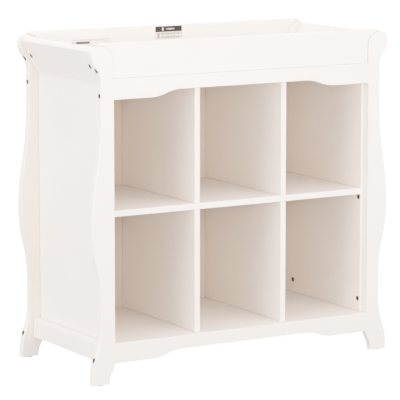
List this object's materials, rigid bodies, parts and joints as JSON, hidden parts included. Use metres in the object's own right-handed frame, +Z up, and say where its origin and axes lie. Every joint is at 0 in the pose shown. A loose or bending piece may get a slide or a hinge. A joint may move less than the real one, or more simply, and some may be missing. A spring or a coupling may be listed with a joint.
{
  "type": "changing table",
  "caption": "Sleigh-style baby changing table with a railed top tray over open cubbies in two rows, on shaped posts.",
  "frame": {"origin": "on the floor, at the middle of the footprint", "axes": "+X to the table's right seen from the front, +Y from front to back, +Z up"},
  "size_m": [1.0244, 0.471, 0.988],
  "materials": {
    "painted_frame": "satin white paint over machined wood",
    "painted_panel": "satin white paint over flat board",
    "painted_back": "thin white paint over hardboard",
    "dark_hardware": "dark bronze",
    "zinc_hardware": "zinc plated",
    "dowel_wood": "bare beech",
    "printed_label": "matt sticker",
    "glide_plastic": "grey moulded"
  },
  "bodies": {
    "root": {"front_left_post": "painted_frame", "front_right_post": "painted_frame", "back_left_post": "painted_frame", "back_right_post": "painted_frame", "front_guard": "painted_frame", "back_guard": "painted_frame", "front_top_apron": "painted_frame", "front_bottom_apron": "painted_frame", "back_top_rail": "painted_frame", "back_bottom_rail": "painted_frame", "left_bottom_side_rail": "painted_frame", "right_bottom_side_rail": "painted_frame", "left_upper_side_board": "painted_frame", "right_upper_side_board": "painted_frame", "left_side_panel": "painted_panel", "right_side_panel": "painted_panel", "tray_floor": "painted_panel", "middle_shelf": "painted_panel", "bottom_shelf": "painted_panel", "upper_left_divider": "painted_panel", "upper_right_divider": "painted_panel", "lower_left_divider": "painted_panel", "lower_right_divider": "painted_panel", "back_panel": "painted_back", "guard_bolts": "dark_hardware", "top_rail_bolts": "dark_hardware", "bottom_rail_bolts": "dark_hardware", "side_panel_cams": "dark_hardware", "upper_side_board_cams": "dark_hardware", "barrel_nuts": "zinc_hardware", "side_panel_cam_pins": "zinc_hardware", "upper_side_board_cam_pins": "zinc_hardware", "shelf_cams": "zinc_hardware", "shelf_cam_pins": "zinc_hardware", "side_rail_screws": "zinc_hardware", "rail_dowels": "dowel_wood", "side_rail_dowels": "dowel_wood", "upper_side_board_dowels": "dowel_wood", "divider_dowels": "dowel_wood", "shelf_dowels": "dowel_wood", "care_label": "printed_label", "lot_label": "printed_label", "foot_glides": "glide_plastic"}
  },
  "joints": []
}
